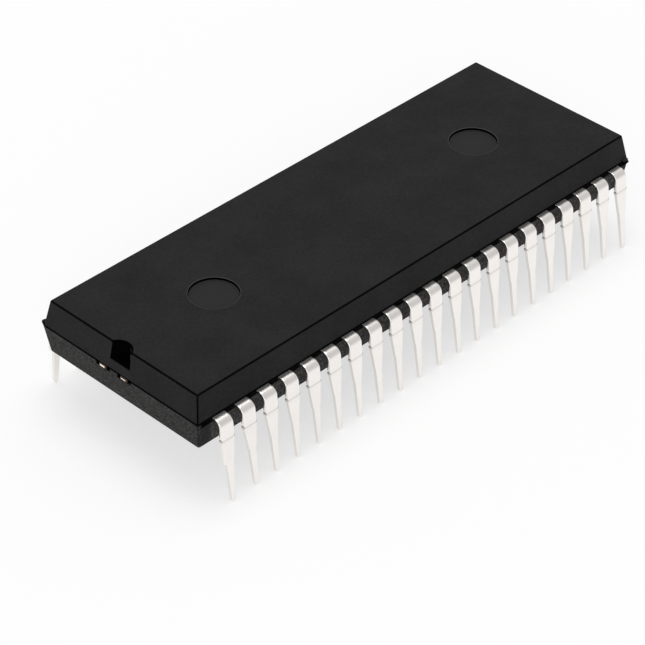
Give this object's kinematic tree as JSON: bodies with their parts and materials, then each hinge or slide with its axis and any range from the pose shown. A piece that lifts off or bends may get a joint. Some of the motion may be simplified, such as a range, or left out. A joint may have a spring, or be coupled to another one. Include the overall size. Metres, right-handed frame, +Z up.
{
  "type": "shrink dual in-line integrated circuit",
  "caption": "Black moulded chip with a notch at one end and a row of bent, tapered tin-plated leads along each long side.",
  "frame": {"origin": "middle of the rectangle that the lead tips stand on, at their lowest points", "axes": "+X along the body, away from the notched end; +Y across it, towards the row that holds the last lead; +Z up, out of the top face"},
  "size_m": [0.0388, 0.0162, 0.0076],
  "materials": {
    "moulding_compound": "fine matte grain with smooth ejector marks",
    "tinned_lead": "bright satin tin plate",
    "bare_copper": "bare copper alloy",
    "die_glue": "silver-filled glue",
    "silicon": "polished silicon",
    "bond_wire": "bright gold wire"
  },
  "bodies": {
    "root": {"moulded_body": "moulding_compound", "lead_01": "tinned_lead", "lead_02": "tinned_lead", "lead_03": "tinned_lead", "lead_04": "tinned_lead", "lead_05": "tinned_lead", "lead_06": "tinned_lead", "lead_07": "tinned_lead", "lead_08": "tinned_lead", "lead_09": "tinned_lead", "lead_10": "tinned_lead", "lead_11": "tinned_lead", "lead_12": "tinned_lead", "lead_13": "tinned_lead", "lead_14": "tinned_lead", "lead_15": "tinned_lead", "lead_16": "tinned_lead", "lead_17": "tinned_lead", "lead_18": "tinned_lead", "lead_19": "tinned_lead", "lead_20": "tinned_lead", "lead_21": "tinned_lead", "lead_22": "tinned_lead", "lead_23": "tinned_lead", "lead_24": "tinned_lead", "lead_25": "tinned_lead", "lead_26": "tinned_lead", "lead_27": "tinned_lead", "lead_28": "tinned_lead", "lead_29": "tinned_lead", "lead_30": "tinned_lead", "lead_31": "tinned_lead", "lead_32": "tinned_lead", "lead_33": "tinned_lead", "lead_34": "tinned_lead", "lead_35": "tinned_lead", "lead_36": "tinned_lead", "lead_37": "tinned_lead", "lead_38": "tinned_lead", "lead_39": "tinned_lead", "lead_40": "tinned_lead", "lead_41": "tinned_lead", "lead_42": "tinned_lead", "die_paddle": "bare_copper", "die_attach": "die_glue", "silicon_die": "silicon", "bond_wires": "bond_wire"}
  },
  "joints": []
}
